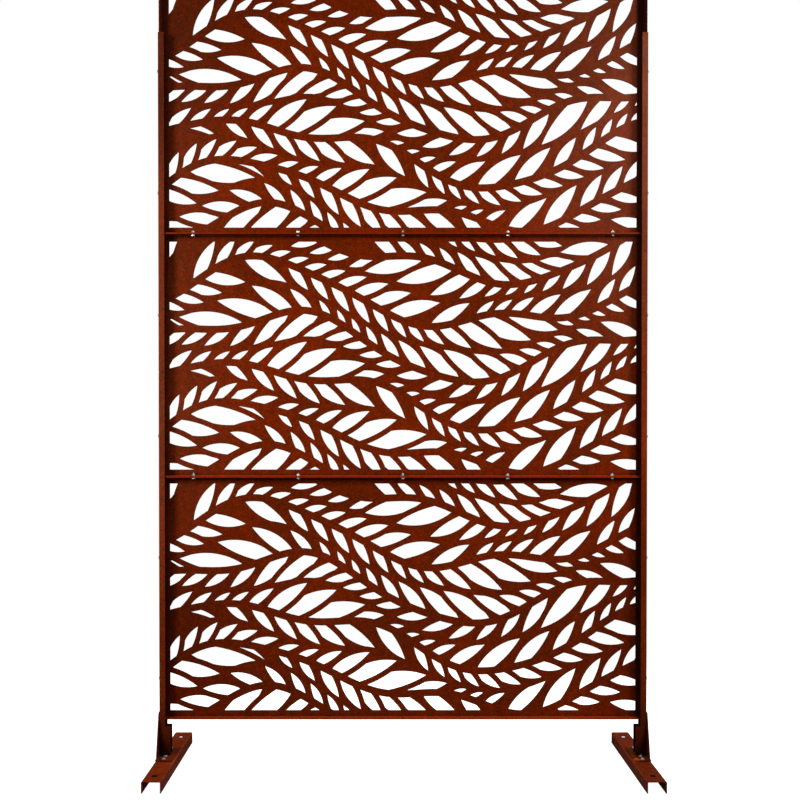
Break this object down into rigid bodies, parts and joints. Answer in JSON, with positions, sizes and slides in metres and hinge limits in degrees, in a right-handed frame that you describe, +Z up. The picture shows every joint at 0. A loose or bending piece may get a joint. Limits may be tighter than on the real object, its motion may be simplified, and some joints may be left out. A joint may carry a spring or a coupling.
{
  "type": "laser cut metal screen",
  "caption": "Free-standing outdoor screen of stacked, folded sheet-steel trays with a laser cut leaf pattern, bolted between channel posts on channel feet.",
  "frame": {"origin": "on the ground, midway between the posts, on their centre plane", "axes": "+X along the screen to the right as seen from the open side of the trays, +Y to the flat back of the trays, +Z up"},
  "size_m": [1.215, 0.396, 1.926],
  "materials": {
    "panel_steel": "satin rust-brown coat, slightly mottled",
    "frame_steel": "satin rust-brown coat, slightly mottled",
    "zinc": "zinc plated"
  },
  "bodies": {
    "root": {"panel_bottom": "panel_steel", "panel_middle": "panel_steel", "panel_top": "panel_steel", "post_lower_left": "frame_steel", "post_lower_right": "frame_steel", "post_upper_left": "frame_steel", "post_upper_right": "frame_steel", "bracket_left": "frame_steel", "bracket_right": "frame_steel", "foot_left": "frame_steel", "foot_right": "frame_steel", "seam_bolts_lower": "zinc", "seam_bolts_upper": "zinc", "seam_nuts_lower": "zinc", "seam_nuts_upper": "zinc", "side_bolts_left": "zinc", "side_bolts_right": "zinc", "side_nuts_left": "zinc", "side_nuts_right": "zinc", "foot_bolts_left": "zinc", "foot_bolts_right": "zinc", "foot_nuts_left": "zinc", "foot_nuts_right": "zinc"}
  },
  "joints": []
}
